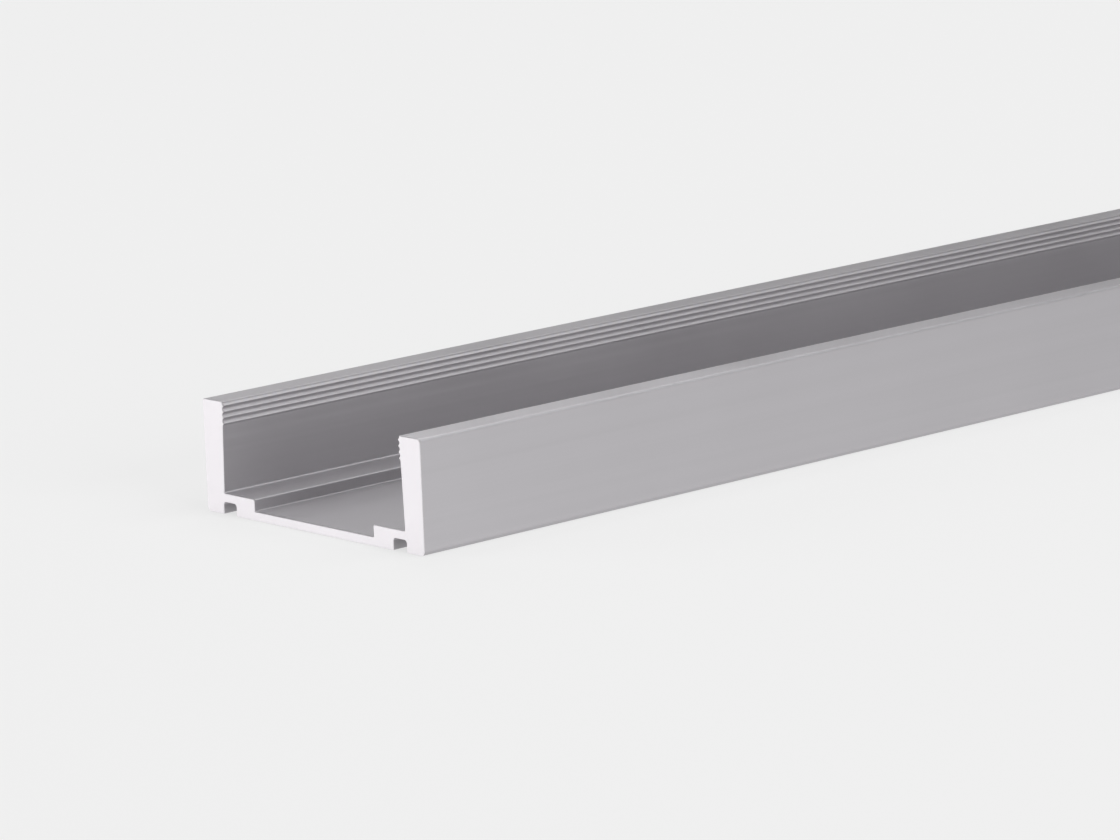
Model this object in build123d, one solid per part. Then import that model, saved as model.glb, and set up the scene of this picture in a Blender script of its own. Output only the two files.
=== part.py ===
from build123d import *
import os

# Driving dimensions of the section, in millimetres
length = 500.0
width = 20.0
height = 7.0
floor_thickness = 0.55

# The walls are upright outside, and thicken a little from the root up to the lip
wall_at_root = 1.65
wall_at_lip = 1.85

# Raised ledge in each bottom corner, with a groove under it that opens downwards and cuts a little into the wall
ledge_reach = 2.85
ledge_height = 1.3
groove_width = 1.2
groove_depth = 0.75
groove_under_wall = 0.1

# Ribs along the inside of each wall, just under its lip, that grip a pressed-in cover
rib_count = 4
rib_pitch = 0.37
rib_depth = 0.12
rib_base = 0.28
first_rib_below_lip = 0.25

# Corner radii that the die leaves
foot_radius = 0.3
lip_radius = 0.2
lip_inner_radius = 0.06
wall_root_radius = 0.1
ledge_edge_radius = 0.1
ledge_foot_radius = 0.06
groove_radius = 0.2

# Places across the section, measured from its middle
half_width = width / 2
root_inside = half_width - wall_at_root
lip_inside = half_width - wall_at_lip
groove_outside = root_inside + groove_under_wall
groove_inside = groove_outside - groove_width
ledge_inside = root_inside - ledge_reach

corner_radii = {
    (half_width, 0): foot_radius,
    (half_width, height): lip_radius,
    (lip_inside, height): lip_inner_radius,
    (root_inside, ledge_height): wall_root_radius,
    (ledge_inside, ledge_height): ledge_edge_radius,
    (ledge_inside, floor_thickness): ledge_foot_radius,
    (groove_outside, groove_depth): groove_radius,
    (groove_inside, groove_depth): groove_radius,
}


def inner_face(up):
    """How far from the middle a wall's inner face is at some height, as the wall thickens towards its lip."""
    rise = (up - ledge_height) / (height - ledge_height)
    return root_inside + rise * (lip_inside - root_inside)


def rib_corners():
    """The corners of the pointed ribs on a wall's inner face, evenly spaced from under the lip downwards."""
    corners = []
    for number in range(rib_count):
        middle = height - first_rib_below_lip - number * rib_pitch
        top = middle + rib_base / 2
        bottom = middle - rib_base / 2
        corners.append((inner_face(top), top))
        corners.append((inner_face(middle) - rib_depth, middle))
        corners.append((inner_face(bottom), bottom))
    return corners


def half_channel():
    """Half of the channel section, from the middle of its floor out to one wall, with its round corners."""
    with BuildSketch() as half:
        with BuildLine():
            Polyline(
                (0, 0),
                (groove_inside, 0),
                (groove_inside, groove_depth),
                (groove_outside, groove_depth),
                (groove_outside, 0),
                (half_width, 0),
                (half_width, height),
                (lip_inside, height),
                *rib_corners(),
                (root_inside, ledge_height),
                (ledge_inside, ledge_height),
                (ledge_inside, floor_thickness),
                (0, floor_thickness),
                close=True,
            )
        make_face()
        for corner, radius in corner_radii.items():
            fillet(half.vertices().sort_by_distance(corner)[0], radius)
    return half.sketch


with BuildPart() as channel_profile:
    with BuildSketch(Plane.YZ.offset(-length / 2)):
        add(half_channel())
        mirror(about=Plane.YZ)
    extrude(amount=length)

os.makedirs("parts", exist_ok=True)
export_step(channel_profile.part, "parts/channel_profile.step")
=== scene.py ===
"""The looks of an aluminium channel profile: its finished mesh, its finishes, the studio and the camera.

Sizes are in metres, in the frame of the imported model: +X along the channel and +Z up, out of its open side.
"""

import logging
import math
from dataclasses import dataclass, field
from enum import Enum

import bpy
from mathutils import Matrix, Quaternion, Vector


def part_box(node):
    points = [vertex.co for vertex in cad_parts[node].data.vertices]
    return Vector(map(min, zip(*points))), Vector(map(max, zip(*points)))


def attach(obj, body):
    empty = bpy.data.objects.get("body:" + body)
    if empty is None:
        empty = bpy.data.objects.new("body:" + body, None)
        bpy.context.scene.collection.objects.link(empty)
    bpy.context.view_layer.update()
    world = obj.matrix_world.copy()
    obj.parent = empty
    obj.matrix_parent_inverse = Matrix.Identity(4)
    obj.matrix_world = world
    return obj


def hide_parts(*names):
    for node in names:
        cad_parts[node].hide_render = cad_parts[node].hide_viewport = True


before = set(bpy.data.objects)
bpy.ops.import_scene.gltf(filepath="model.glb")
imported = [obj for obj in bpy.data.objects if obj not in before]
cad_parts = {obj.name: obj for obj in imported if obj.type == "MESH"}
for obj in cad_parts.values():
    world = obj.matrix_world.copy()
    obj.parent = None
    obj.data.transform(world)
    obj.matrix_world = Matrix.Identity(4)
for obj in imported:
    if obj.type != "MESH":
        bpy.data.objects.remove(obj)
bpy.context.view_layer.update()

MM = 0.001
log = logging.getLogger("channel")

Colour = tuple[float, float, float, float]


@dataclass
class NodeSheet:
    """One node tree in the making, so that each step of it is a line that names its inputs."""

    tree: bpy.types.NodeTree

    def add(
        self, kind: str, feeds: dict[str | int, object] | None = None, **settings: object
    ) -> bpy.types.Node:
        """Adds a node to the tree.

        Args:
            kind: The node's type name.
            feeds: Its inputs by name or number: a socket to link from, or a plain value.
            **settings: The node's own options.

        Returns:
            The new node.
        """
        node = self.tree.nodes.new(kind)
        for option, value in settings.items():
            setattr(node, option, value)
        for key, value in (feeds or {}).items():
            if isinstance(value, bpy.types.NodeSocket):
                self.tree.links.new(value, node.inputs[key])
            else:
                node.inputs[key].default_value = value
        return node

    def calc(
        self, operation: str, *terms: bpy.types.NodeSocket | float, clamp: bool = False
    ) -> bpy.types.NodeSocket:
        """Adds a Math node.

        Args:
            operation: The name of the operation, such as MULTIPLY.
            *terms: Sockets or numbers, in order.
            clamp: Whether the result is held between 0 and 1.

        Returns:
            The node's result.
        """
        feeds = dict(enumerate(terms))
        return self.add("ShaderNodeMath", feeds, operation=operation, use_clamp=clamp).outputs[0]

    def named(self, attribute: str, data_type: str = "FLOAT") -> bpy.types.NodeSocket:
        """The value of an attribute that the geometry carries."""
        feeds = {"Name": attribute}
        return self.add("GeometryNodeInputNamedAttribute", feeds, data_type=data_type).outputs[0]

    def swing(self, noise: bpy.types.NodeSocket) -> bpy.types.NodeSocket:
        """A noise between 0 and 1, stretched so that it swings between -1 and 1."""
        return self.calc("MULTIPLY_ADD", noise, 2, -1)

    def dress(
        self,
        shader: bpy.types.Node,
        gloss: bpy.types.NodeSocket,
        height: bpy.types.NodeSocket,
        depth: float,
    ) -> None:
        """Gives a shader its roughness and its relief.

        Args:
            shader: The Principled shader.
            gloss: The roughness over the surface.
            height: The relief, between 0 and 1.
            depth: How deep the relief is, in metres.
        """
        feeds = {"Height": height, "Distance": depth}
        relief = self.add("ShaderNodeBump", feeds).outputs[0]
        self.tree.links.new(gloss, shader.inputs["Roughness"])
        self.tree.links.new(relief, shader.inputs["Normal"])


def start_metal(name: str) -> tuple[bpy.types.Material, NodeSheet, bpy.types.Node]:
    """Starts a metal finish.

    Args:
        name: The material's name.

    Returns:
        The material, its tree and its Principled shader.
    """
    material = bpy.data.materials.new(name)
    material.use_nodes = True
    sheet = NodeSheet(material.node_tree)
    shader = sheet.tree.nodes["Principled BSDF"]
    shader.inputs["Metallic"].default_value = 1.0
    return material, sheet, shader


@dataclass(frozen=True)
class AnodisedFinish:
    """Clear satin anodising: fine die lines along the length, a soft cloudiness and a painted sheen. The
    sheen is a highlight painted into the colour along the near wall's top edge, where the surface is also a
    little glossier.

    The painted sheen is strongest at the channel's near end, and fades out over the sheen's run, which stops
    at the sheen's end.
    """

    name: str = "satin_anodised_aluminium"
    colour: Colour = (0.485, 0.473, 0.491, 1.0)
    roughness: float = 0.49
    line_length: float = 140 * MM
    line_width: float = 0.22 * MM
    line_depth: float = 0.004 * MM
    line_detail: float = 3.0
    line_tone: float = 0.05
    line_gloss: float = 0.06
    # The painted sheen: a lighter colour along the near wall's top edge that stands in for a highlight, and a
    # little less roughness there.
    painted_sheen_tone: float = 0.45
    sheen_gloss: float = 0.05
    sheen_end: float = 10 * MM
    sheen_run: float = 260 * MM
    cloud_size: float = 9 * MM
    cloud_detail: float = 2.0
    cloud_gloss: float = 0.05
    seed: float = 3.7

    def material(self) -> bpy.types.Material:
        """Builds the finish: die lines, clouds and the painted sheen on the near wall's top edge, each in its
        gloss and tone.

        Returns:
            The material, which reads object coordinates and the mesh's attribute that marks where the sheen
            is painted.
        """
        material, sheet, shader = start_metal(self.name)
        place = sheet.add("ShaderNodeTexCoord").outputs["Object"]
        lines = self._lines(sheet, place)
        feeds = {"Vector": place, "Scale": 1 / self.cloud_size, "Detail": self.cloud_detail}
        clouds = sheet.add("ShaderNodeTexNoise", feeds).outputs[0]
        painted_sheen = self._read_painted_sheen(sheet, place)
        line_swing = sheet.swing(lines)
        gloss = sheet.calc("MULTIPLY_ADD", line_swing, self.line_gloss, self.roughness)
        gloss = sheet.calc("MULTIPLY_ADD", sheet.swing(clouds), self.cloud_gloss, gloss)
        gloss = sheet.calc("MULTIPLY_ADD", painted_sheen, -self.sheen_gloss, gloss)
        sheet.dress(shader, gloss, lines, self.line_depth)
        tone = sheet.calc("MULTIPLY_ADD", line_swing, self.line_tone, 1.0)
        # Painted highlight: the sheen lightens the base colour along the near wall's top edge.
        tone = sheet.calc("MULTIPLY_ADD", painted_sheen, self.painted_sheen_tone, tone)
        feeds = {0: self.colour[:3], "Scale": tone}
        colour = sheet.add("ShaderNodeVectorMath", feeds, operation="SCALE").outputs[0]
        sheet.tree.links.new(colour, shader.inputs["Base Color"])
        return material

    def _lines(self, sheet: NodeSheet, place: bpy.types.NodeSocket) -> bpy.types.NodeSocket:
        """Draws the die lines: a noise drawn out along the channel.

        Args:
            sheet: The material's tree.
            place: The object coordinates.

        Returns:
            The lines, between 0 and 1.
        """
        stretch = (1 / self.line_length, 1 / self.line_width, 1 / self.line_width)
        stretched = sheet.add("ShaderNodeMapping", {"Vector": place, "Scale": stretch}).outputs[0]
        feeds = {"Vector": stretched, "W": self.seed, "Scale": 1.0, "Detail": self.line_detail}
        return sheet.add("ShaderNodeTexNoise", feeds, noise_dimensions="4D").outputs[0]

    def _read_painted_sheen(self, sheet: NodeSheet, place: bpy.types.NodeSocket) -> bpy.types.NodeSocket:
        """Reads where the sheen is painted: what the mesh marks, fading along the channel.

        Args:
            sheet: The material's tree.
            place: The object coordinates.

        Returns:
            The share of painted sheen, between 0 and 1.
        """
        along = sheet.add("ShaderNodeSeparateXYZ", {"Vector": place}).outputs[0]
        left = sheet.calc("SUBTRACT", self.sheen_end, along)
        fade = sheet.calc("DIVIDE", left, self.sheen_run, clamp=True)
        sheen_marked = sheet.add("ShaderNodeAttribute", attribute_name="painted_sheen").outputs["Fac"]
        return sheet.calc("MULTIPLY", sheen_marked, fade)


@dataclass(frozen=True)
class SawnFinish:
    """Bare aluminium as a circular saw leaves it: bright, with fine uneven arcs across the cut."""

    name: str = "sawn_bare_aluminium"
    colour: Colour = (0.93, 0.90, 0.93, 1.0)
    roughness: float = 0.38
    mark_pitch: float = 0.11 * MM
    mark_run: float = 7 * MM
    mark_depth: float = 0.005 * MM
    mark_detail: float = 3.0
    mark_gloss: float = 0.10
    blade_across: float = 75 * MM
    blade_up: float = 100 * MM

    def material(self) -> bpy.types.Material:
        """Builds the finish, with the saw marks in its gloss and relief.

        Returns:
            The material, which reads object coordinates.
        """
        material, sheet, shader = start_metal(self.name)
        shader.inputs["Base Color"].default_value = self.colour
        marks = self._marks(sheet)
        gloss = sheet.calc("MULTIPLY_ADD", sheet.swing(marks), self.mark_gloss, self.roughness)
        sheet.dress(shader, gloss, marks, self.mark_depth)
        return material

    def _marks(self, sheet: NodeSheet) -> bpy.types.NodeSocket:
        """Draws the saw marks: uneven arcs about the blade's axle, above and beside the channel.

        Args:
            sheet: The material's tree.

        Returns:
            The marks, between 0 and 1.
        """
        place = sheet.add("ShaderNodeTexCoord").outputs["Object"]
        axle = (0, -self.blade_across, -self.blade_up)
        about_axle = sheet.add("ShaderNodeMapping", {"Vector": place, "Location": axle}).outputs[0]
        _, across, up = sheet.add("ShaderNodeSeparateXYZ", {"Vector": about_axle}).outputs
        squares = sheet.calc("ADD", sheet.calc("POWER", across, 2), sheet.calc("POWER", up, 2))
        turns = sheet.calc("DIVIDE", sheet.calc("SQRT", squares), self.mark_pitch)
        angle = sheet.calc("ARCTAN2", up, across)
        runs = sheet.calc("MULTIPLY", angle, self.blade_up / self.mark_run)
        arcs = sheet.add("ShaderNodeCombineXYZ", {"X": turns, "Y": runs}).outputs[0]
        feeds = {"Vector": arcs, "Scale": 1.0, "Detail": self.mark_detail}
        return sheet.add("ShaderNodeTexNoise", feeds).outputs[0]


class Stretch(Enum):
    """What the section's line does from one corner to the next."""

    PLAIN = 0
    RIBBED = 1


@dataclass(frozen=True)
class Corner:
    """A corner of the section: its place out and up, its radius, and the stretch that starts there."""

    out: float
    up: float
    radius: float = 0.0
    stretch: Stretch = Stretch.PLAIN


@dataclass
class ChannelProfile:
    """The whole extrusion: one section with ledges, grooves and ribs, swept along and sawn off."""

    skin: AnodisedFinish = field(default_factory=AnodisedFinish)
    cut: SawnFinish = field(default_factory=SawnFinish)
    node: str = "channel_profile"
    length: float = field(init=False)
    width: float = field(init=False)
    height: float = field(init=False)
    wall_root: float = 1.65 * MM
    wall_lip: float = 1.85 * MM
    floor: float = 0.55 * MM
    ledge_reach: float = 2.85 * MM
    ledge_height: float = 1.3 * MM
    groove_width: float = 1.2 * MM
    groove_depth: float = 0.75 * MM
    groove_bite: float = 0.1 * MM
    rib_count: int = 4
    rib_pitch: float = 0.37 * MM
    rib_depth: float = 0.12 * MM
    rib_sharpness: float = 3.5
    ribs_below_lip: float = 0.065 * MM
    steps_per_rib: int = 12
    # How far below the wall's top the painted sheen reaches.
    sheen_reach: float = 0.05 * MM
    foot_radius: float = 0.3 * MM
    lip_radius: float = 0.2 * MM
    lip_inner_radius: float = 0.06 * MM
    wall_root_radius: float = 0.1 * MM
    ledge_edge_radius: float = 0.1 * MM
    ledge_foot_radius: float = 0.06 * MM
    groove_radius: float = 0.2 * MM
    groove_edge_radius: float = 0.05 * MM
    corner_steps: int = 8
    edge_break: float = 0.03 * MM
    cut_facing: float = 0.5
    smooth_limit: float = math.radians(35)

    def __post_init__(self) -> None:
        """Takes the length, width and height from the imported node."""
        low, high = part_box(self.node)
        self.length, self.width, self.height = high - low

    def inner_face(self, up: float) -> float:
        """How far out a wall's inner face is at a height, as the walls thicken towards the lip."""
        rise = (up - self.ledge_height) / (self.height - self.ledge_height)
        return self.width / 2 - self.wall_root - rise * (self.wall_lip - self.wall_root)

    def half_outline(self) -> list[Corner]:
        """Lists the corners of half the section.

        Returns:
            The corners, anticlockwise from the middle of the underside to the middle of the floor.
        """
        half = self.width / 2
        root = half - self.wall_root
        groove_outer = root + self.groove_bite
        groove_inner = groove_outer - self.groove_width
        ledge = root - self.ledge_reach
        rib_top = self.height - self.ribs_below_lip
        rib_bottom = rib_top - self.rib_count * self.rib_pitch
        return [
            Corner(groove_inner, 0, self.groove_edge_radius),
            Corner(groove_inner, self.groove_depth, self.groove_radius),
            Corner(groove_outer, self.groove_depth, self.groove_radius),
            Corner(groove_outer, 0, self.groove_edge_radius),
            Corner(half, 0, self.foot_radius),
            Corner(half, self.height, self.lip_radius),
            Corner(self.inner_face(self.height), self.height, self.lip_inner_radius),
            Corner(self.inner_face(rib_top), rib_top, stretch=Stretch.RIBBED),
            Corner(self.inner_face(rib_bottom), rib_bottom),
            Corner(root, self.ledge_height, self.wall_root_radius),
            Corner(ledge, self.ledge_height, self.ledge_edge_radius),
            Corner(ledge, self.floor, self.ledge_foot_radius),
        ]

    def outline_mesh(self) -> bpy.types.Mesh:
        """Draws the section as one closed loop of edges in the XY plane.

        Returns:
            A mesh whose points carry their corner_radius, and the stretch that starts there.
        """
        right = self.half_outline()
        turned = right[::-1]
        kinds = [corner.stretch for corner in turned[1:]] + [Stretch.PLAIN]
        left = [Corner(-c.out, c.up, c.radius, kind) for c, kind in zip(turned, kinds)]
        corners = right + left
        loop = bpy.data.meshes.new("section_outline")
        count = len(corners)
        sides = [(n, (n + 1) % count) for n in range(count)]
        loop.from_pydata([(c.out, c.up, 0) for c in corners], sides, [])
        radii = loop.attributes.new("corner_radius", "FLOAT", "POINT")
        stretches = loop.attributes.new("stretch", "INT", "POINT")
        for n, corner in enumerate(corners):
            radii.data[n].value = corner.radius
            stretches.data[n].value = corner.stretch.value
        return loop

    def sweep_tree(self) -> tuple[bpy.types.GeometryNodeTree, dict[str, str]]:
        """Builds the rule that makes the channel from its outline.

        Returns:
            The tree, and each named input's identifier.
        """
        tree = bpy.data.node_groups.new("channel_sweep", "GeometryNodeTree")
        kinds = {
            "Outline": "NodeSocketGeometry",
            "Length": "NodeSocketFloat",
            "Corner Steps": "NodeSocketInt",
            "Wall Middle": "NodeSocketFloat",
            "Rib Top": "NodeSocketFloat",
            "Rib Count": "NodeSocketInt",
            "Rib Pitch": "NodeSocketFloat",
            "Rib Depth": "NodeSocketFloat",
            "Rib Sharpness": "NodeSocketFloat",
            "Steps Per Rib": "NodeSocketInt",
            "Wall Top": "NodeSocketFloat",
            "Sheen Reach": "NodeSocketFloat",
            "Edge Break": "NodeSocketFloat",
            "Smooth Limit": "NodeSocketFloat",
            "Skin": "NodeSocketMaterial",
            "Cut": "NodeSocketMaterial",
        }
        keys = {
            name: tree.interface.new_socket(name, in_out="INPUT", socket_type=kind).identifier
            for name, kind in kinds.items()
        }
        tree.interface.new_socket("Channel", in_out="OUTPUT", socket_type="NodeSocketGeometry")
        sheet = NodeSheet(tree)
        given = sheet.add("NodeGroupInput").outputs
        outline = self._ribbed_outline(sheet, given)
        swept = self._sweep(sheet, given, outline)
        shaded = self._shade(sheet, given, swept)
        sheet.add("NodeGroupOutput", {"Channel": shaded})
        return tree, keys

    def _ribbed_outline(self, sheet: NodeSheet, given: bpy.types.NodeOutputs) -> bpy.types.NodeSocket:
        """Rounds the corners, raises the ribs on both inner walls and marks the near wall's top edge for its
        painted sheen.

        Args:
            sheet: The tree that the steps go into.
            given: The tree's inputs.

        Returns:
            The finished outline as a curve.
        """
        curve = sheet.add("GeometryNodeMeshToCurve", {"Mesh": given["Outline"]}).outputs[0]
        feeds = {"Curve": curve, "Count": given["Corner Steps"], "Radius": sheet.named("corner_radius")}
        rounded = sheet.add("GeometryNodeFilletCurve", feeds, mode="POLY").outputs[0]
        steps = sheet.calc("MULTIPLY", given["Rib Count"], given["Steps Per Rib"])
        cuts = sheet.calc("MULTIPLY", sheet.named("stretch", "INT"), sheet.calc("SUBTRACT", steps, 1))
        divided = sheet.add("GeometryNodeSubdivideCurve", {"Curve": rounded, "Cuts": cuts}).outputs[0]
        position = sheet.add("GeometryNodeInputPosition").outputs[0]
        across, up, _ = sheet.add("ShaderNodeSeparateXYZ", {"Vector": position}).outputs
        turns = sheet.calc("DIVIDE", sheet.calc("SUBTRACT", given["Rib Top"], up), given["Rib Pitch"])
        past_first = sheet.calc("GREATER_THAN", turns, 0)
        before_last = sheet.calc("LESS_THAN", turns, given["Rib Count"])
        inside = sheet.calc("LESS_THAN", sheet.calc("ABSOLUTE", across), given["Wall Middle"])
        on_rib = sheet.calc("MULTIPLY", sheet.calc("MULTIPLY", past_first, before_last), inside)
        swell = sheet.calc("ABSOLUTE", sheet.calc("SINE", sheet.calc("MULTIPLY", turns, math.pi)))
        wave = sheet.calc("POWER", swell, given["Rib Sharpness"])
        height = sheet.calc("MULTIPLY", wave, given["Rib Depth"])
        inward = sheet.calc("MULTIPLY", sheet.calc("SIGN", across), -1)
        offset = sheet.add("ShaderNodeCombineXYZ", {"X": sheet.calc("MULTIPLY", inward, height)}).outputs[0]
        feeds = {"Geometry": divided, "Selection": on_rib, "Offset": offset}
        ribbed = sheet.add("GeometryNodeSetPosition", feeds).outputs[0]
        # The painted highlight's mask: the top edge of the near wall only, down to the sheen's reach.
        below_top = sheet.calc("DIVIDE", sheet.calc("SUBTRACT", given["Wall Top"], up), given["Sheen Reach"])
        on_top = sheet.calc("SUBTRACT", 1, below_top, clamp=True)
        painted_sheen = sheet.calc("MULTIPLY", on_top, sheet.calc("LESS_THAN", across, 0))
        feeds = {"Geometry": ribbed, "Name": "painted_sheen", "Value": painted_sheen}
        return sheet.add("GeometryNodeStoreNamedAttribute", feeds).outputs[0]

    def _sweep(
        self, sheet: NodeSheet, given: bpy.types.NodeOutputs, outline: bpy.types.NodeSocket
    ) -> bpy.types.NodeSocket:
        """Sweeps the outline between the two saw cuts, and takes the sharp edge off each cut.

        Args:
            sheet: The tree that the steps go into.
            given: The tree's inputs.
            outline: The finished outline.

        Returns:
            The channel as a closed mesh along +X.
        """
        end = sheet.calc("DIVIDE", given["Length"], 2)
        start_point = sheet.add("ShaderNodeCombineXYZ", {"Z": sheet.calc("MULTIPLY", end, -1)}).outputs[0]
        end_point = sheet.add("ShaderNodeCombineXYZ", {"Z": end}).outputs[0]
        feeds = {"Start": start_point, "End": end_point}
        line = sheet.add("GeometryNodeCurvePrimitiveLine", feeds).outputs[0]
        inner_points = 2
        path = sheet.add("GeometryNodeSubdivideCurve", {"Curve": line, "Cuts": inner_points}).outputs[0]
        position = sheet.add("GeometryNodeInputPosition").outputs[0]
        along = sheet.add("ShaderNodeSeparateXYZ", {"Vector": position}).outputs[2]
        halfway = sheet.calc("DIVIDE", end, 2)
        inner = sheet.calc("LESS_THAN", sheet.calc("ABSOLUTE", along), halfway)
        short = sheet.calc("SUBTRACT", end, given["Edge Break"])
        broken = sheet.calc("MULTIPLY", sheet.calc("SIGN", along), short)
        inner_point = sheet.add("ShaderNodeCombineXYZ", {"Z": broken}).outputs[0]
        feeds = {"Geometry": path, "Selection": inner, "Position": inner_point}
        path = sheet.add("GeometryNodeSetPosition", feeds).outputs[0]
        outward = sheet.add("GeometryNodeInputNormal").outputs[0]
        capture = sheet.add("GeometryNodeCaptureAttribute", {"Geometry": outline})
        capture.capture_items.new("VECTOR", "Outward")
        sheet.tree.links.new(outward, capture.inputs["Outward"])
        feeds = {"Curve": path, "Profile Curve": capture.outputs["Geometry"], "Fill Caps": True}
        swept = sheet.add("GeometryNodeCurveToMesh", feeds).outputs[0]
        limit = sheet.calc("SUBTRACT", end, sheet.calc("DIVIDE", given["Edge Break"], 2))
        on_rim = sheet.calc("GREATER_THAN", sheet.calc("ABSOLUTE", along), limit)
        back = sheet.calc("MULTIPLY", given["Edge Break"], -1)
        feeds = {0: capture.outputs["Outward"], "Scale": back}
        tuck = sheet.add("ShaderNodeVectorMath", feeds, operation="SCALE").outputs[0]
        feeds = {"Geometry": swept, "Selection": on_rim, "Offset": tuck}
        eased = sheet.add("GeometryNodeSetPosition", feeds).outputs[0]
        quarter = math.pi / 2
        feeds = {"Geometry": eased, "Rotation": (quarter, 0, quarter)}
        return sheet.add("GeometryNodeTransform", feeds).outputs[0]

    def _shade(
        self, sheet: NodeSheet, given: bpy.types.NodeOutputs, swept: bpy.types.NodeSocket
    ) -> bpy.types.NodeSocket:
        """Smooths the rounds, creases the sharp edges, and gives the skin and the two cuts their finishes.

        Args:
            sheet: The tree that the steps go into.
            given: The tree's inputs.
            swept: The channel's mesh.

        Returns:
            The mesh with its shading and materials.
        """
        feeds = {"Geometry": swept, "Shade Smooth": True}
        smooth = sheet.add("GeometryNodeSetShadeSmooth", feeds).outputs[0]
        angle = sheet.add("GeometryNodeInputMeshEdgeAngle").outputs[0]
        sharp = sheet.calc("GREATER_THAN", angle, given["Smooth Limit"])
        feeds = {"Geometry": smooth, "Selection": sharp, "Shade Smooth": False}
        creased = sheet.add("GeometryNodeSetShadeSmooth", feeds, domain="EDGE").outputs[0]
        solid = sheet.add("GeometryNodeRealizeInstances", {"Geometry": creased}).outputs[0]
        feeds = {"Geometry": solid, "Material": given["Skin"]}
        skinned = sheet.add("GeometryNodeSetMaterial", feeds).outputs[0]
        normal = sheet.add("GeometryNodeInputNormal").outputs[0]
        along = sheet.add("ShaderNodeSeparateXYZ", {"Vector": normal}).outputs[0]
        on_cut = sheet.calc("GREATER_THAN", sheet.calc("ABSOLUTE", along), self.cut_facing)
        feeds = {"Geometry": skinned, "Selection": on_cut, "Material": given["Cut"]}
        return sheet.add("GeometryNodeSetMaterial", feeds).outputs[0]

    def build(self) -> bpy.types.Object:
        """Makes the channel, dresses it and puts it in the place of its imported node.

        Returns:
            The finished piece.
        """
        former = bpy.data.objects.new("channel_former", self.outline_mesh())
        bpy.context.scene.collection.objects.link(former)
        tree, keys = self.sweep_tree()
        rule = former.modifiers.new("sweep", "NODES")
        rule.node_group = tree
        sizes = {
            "Length": self.length,
            "Corner Steps": self.corner_steps,
            "Wall Middle": (self.width - self.wall_lip) / 2,
            "Rib Top": self.height - self.ribs_below_lip,
            "Rib Count": self.rib_count,
            "Rib Pitch": self.rib_pitch,
            "Rib Depth": self.rib_depth,
            "Rib Sharpness": self.rib_sharpness,
            "Steps Per Rib": self.steps_per_rib,
            "Wall Top": self.height,
            "Sheen Reach": self.sheen_reach,
            "Edge Break": self.edge_break,
            "Smooth Limit": self.smooth_limit,
            "Skin": self.skin.material(),
            "Cut": self.cut.material(),
        }
        for name, value in sizes.items():
            rule[keys[name]] = value
        flats = former.modifiers.new("flats", "WEIGHTED_NORMAL")
        flats.keep_sharp = True
        graph = bpy.context.evaluated_depsgraph_get()
        mesh = bpy.data.meshes.new_from_object(former.evaluated_get(graph))
        bpy.data.objects.remove(former)
        mesh.name = "channel"
        piece = bpy.data.objects.new("channel", mesh)
        bpy.context.scene.collection.objects.link(piece)
        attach(piece, "root")
        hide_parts(self.node)
        return piece


@dataclass(frozen=True)
class PaperFinish:
    """Matt pale paper for the floor, which shows the camera mostly plain tone and a soft shadow."""

    name: str = "pale_paper"
    colour: Colour = (0.862, 0.862, 0.862, 1.0)
    evenness: float = 0.8

    def material(self) -> bpy.types.Material:
        """Builds the paper: matt to the light, and mostly plain tone to the camera and in reflections.

        Returns:
            The material.
        """
        material = bpy.data.materials.new(self.name)
        material.use_nodes = True
        sheet = NodeSheet(material.node_tree)
        sheet.tree.nodes.remove(sheet.tree.nodes["Principled BSDF"])
        matt = sheet.add("ShaderNodeBsdfDiffuse", {"Color": self.colour}).outputs[0]
        tone = sheet.add("ShaderNodeEmission", {"Color": self.colour}).outputs[0]
        rays = sheet.add("ShaderNodeLightPath").outputs
        seen = sheet.calc("MAXIMUM", rays["Is Camera Ray"], rays["Is Glossy Ray"])
        share = sheet.calc("MULTIPLY", seen, self.evenness)
        mixed = sheet.add("ShaderNodeMixShader", {0: share, 1: matt, 2: tone}).outputs[0]
        sheet.tree.links.new(mixed, sheet.tree.nodes["Material Output"].inputs["Surface"])
        return material


@dataclass(frozen=True)
class SoftBox:
    """A soft studio lamp: a glowing rectangle that faces the channel's near end.

    Its bearing runs anticlockwise from the channel's far end. Both angles are in degrees.
    """

    name: str
    bearing: float
    elevation: float
    power: float
    distance: float = 1.5
    width: float = 1.0
    height: float = 0.7

    def build(self, aim: Vector) -> bpy.types.Object:
        """Hangs the lamp.

        Args:
            aim: The point that it faces.

        Returns:
            The lamp.
        """
        lamp = bpy.data.lights.new(self.name, "AREA")
        lamp.shape = "RECTANGLE"
        lamp.size, lamp.size_y, lamp.energy = self.width, self.height, self.power
        bearing, elevation = math.radians(self.bearing), math.radians(self.elevation)
        level = math.cos(elevation)
        towards = Vector((math.cos(bearing) * level, math.sin(bearing) * level, math.sin(elevation)))
        holder = bpy.data.objects.new(self.name, lamp)
        holder.location = aim + towards * self.distance
        holder.rotation_euler = (-towards).to_track_quat("-Z", "Y").to_euler()
        holder.visible_camera = False
        bpy.context.scene.collection.objects.link(holder)
        return holder


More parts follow.
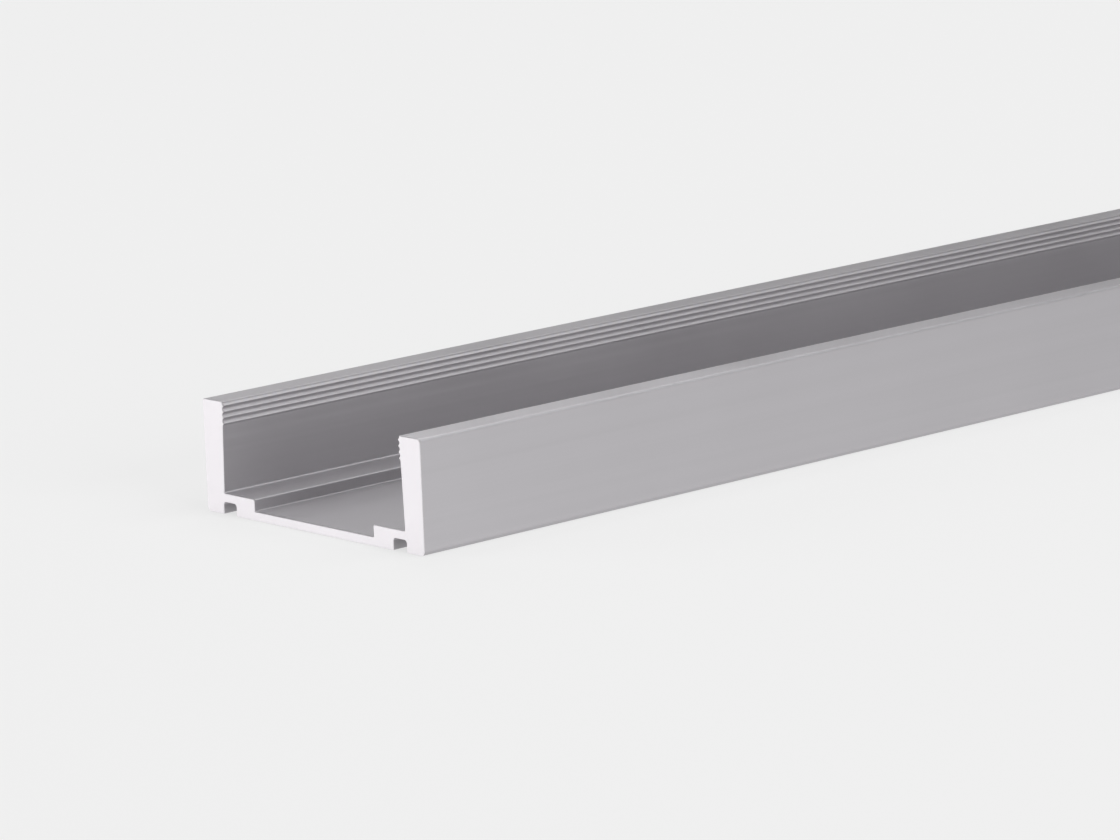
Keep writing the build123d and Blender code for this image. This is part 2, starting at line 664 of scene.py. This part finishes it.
@dataclass
class Studio:
    """A pale paper floor, an even sky and a ring of soft boxes."""

    paper: PaperFinish = field(default_factory=PaperFinish)
    floor_half: float = 8.0
    floor_gap: float = 0.01 * MM
    sky: float = 0.02
    sky_colour: Colour = (1.0, 1.0, 1.0, 1.0)
    boxes: tuple[SoftBox, ...] = (
        SoftBox("side_box", bearing=270, elevation=15, power=17.4),
        SoftBox("right_box", bearing=315, elevation=50, power=5.2),
        SoftBox("top_box", bearing=0, elevation=90, power=12.0, width=1.3, height=1.3),
        SoftBox("back_box", bearing=45, elevation=50, power=3.2),
        SoftBox("low_box", bearing=70, elevation=30, power=2.5),
        SoftBox("end_box", bearing=135, elevation=15, power=7.8),
    )

    def build(self, aim: Vector) -> None:
        """Lays the floor, lights the sky and hangs the lamps.

        Args:
            aim: The point that the lamps face.
        """
        self._floor()
        self._sky()
        for box in self.boxes:
            box.build(aim)

    def _floor(self) -> None:
        """Lays the paper just under the channel's feet."""
        half = self.floor_half
        mesh = bpy.data.meshes.new("floor")
        quarters = ((-1, -1), (1, -1), (1, 1), (-1, 1))
        mesh.from_pydata([(x * half, y * half, -self.floor_gap) for x, y in quarters], [], [(0, 1, 2, 3)])
        mesh.materials.append(self.paper.material())
        floor = bpy.data.objects.new("floor", mesh)
        bpy.context.scene.collection.objects.link(floor)

    def _sky(self) -> None:
        """Makes the world an even light that the camera sees as more of the same paper."""
        world = bpy.data.worlds.new("sky")
        world.use_nodes = True
        sheet = NodeSheet(world.node_tree)
        ground = sheet.tree.nodes["Background"]
        ground.inputs["Color"].default_value = self.sky_colour
        ground.inputs["Strength"].default_value = self.sky
        paper = sheet.add("ShaderNodeBackground", {"Color": self.paper.colour}).outputs[0]
        seen = sheet.add("ShaderNodeLightPath").outputs["Is Camera Ray"]
        mixed = sheet.add("ShaderNodeMixShader", {0: seen, 1: ground.outputs[0], 2: paper}).outputs[0]
        sheet.tree.links.new(mixed, sheet.tree.nodes["World Output"].inputs["Surface"])
        bpy.context.scene.world = world


@dataclass(frozen=True)
class Viewpoint:
    """The camera: where it looks from and what it looks at, measured from the channel's near end."""

    azimuth: float = math.radians(-42.24)
    elevation: float = math.radians(11.63)
    roll: float = math.radians(-2.17)
    lens: float = 178.5
    distance: float = 361.6 * MM
    aim_along: float = 31.7 * MM
    aim_across: float = 12.7 * MM
    nearest: float = 10 * MM

    def build(self, near_end: Vector) -> bpy.types.Object:
        """Sets up the scene's camera.

        Args:
            near_end: The middle of the near end's underside.

        Returns:
            The camera.
        """
        lens = bpy.data.cameras.new("camera")
        lens.lens = self.lens
        lens.clip_start = self.nearest
        camera = bpy.data.objects.new("camera", lens)
        level = math.cos(self.elevation)
        back = Vector(
            (math.sin(self.azimuth) * level, -math.cos(self.azimuth) * level, math.sin(self.elevation))
        )
        camera.location = near_end + Vector((self.aim_along, self.aim_across, 0)) + back * self.distance
        camera.rotation_mode = "QUATERNION"
        turn = Quaternion((0, 0, 1), self.roll)
        camera.rotation_quaternion = (-back).to_track_quat("-Z", "Y") @ turn
        bpy.context.scene.collection.objects.link(camera)
        bpy.context.scene.camera = camera
        return camera


def main() -> None:
    """Builds the channel, the studio and the camera in order, and reports each piece."""
    logging.basicConfig(level=logging.INFO, format="%(name)s: %(message)s")
    bpy.context.scene.view_settings.view_transform = "Standard"
    profile = ChannelProfile()
    piece = profile.build()
    log.info("%s: %d faces", piece.name, len(piece.data.polygons))
    near_end = Vector((-profile.length / 2, 0, 0))
    Studio().build(near_end)
    Viewpoint().build(near_end)


if __name__ == "__main__":
    main()
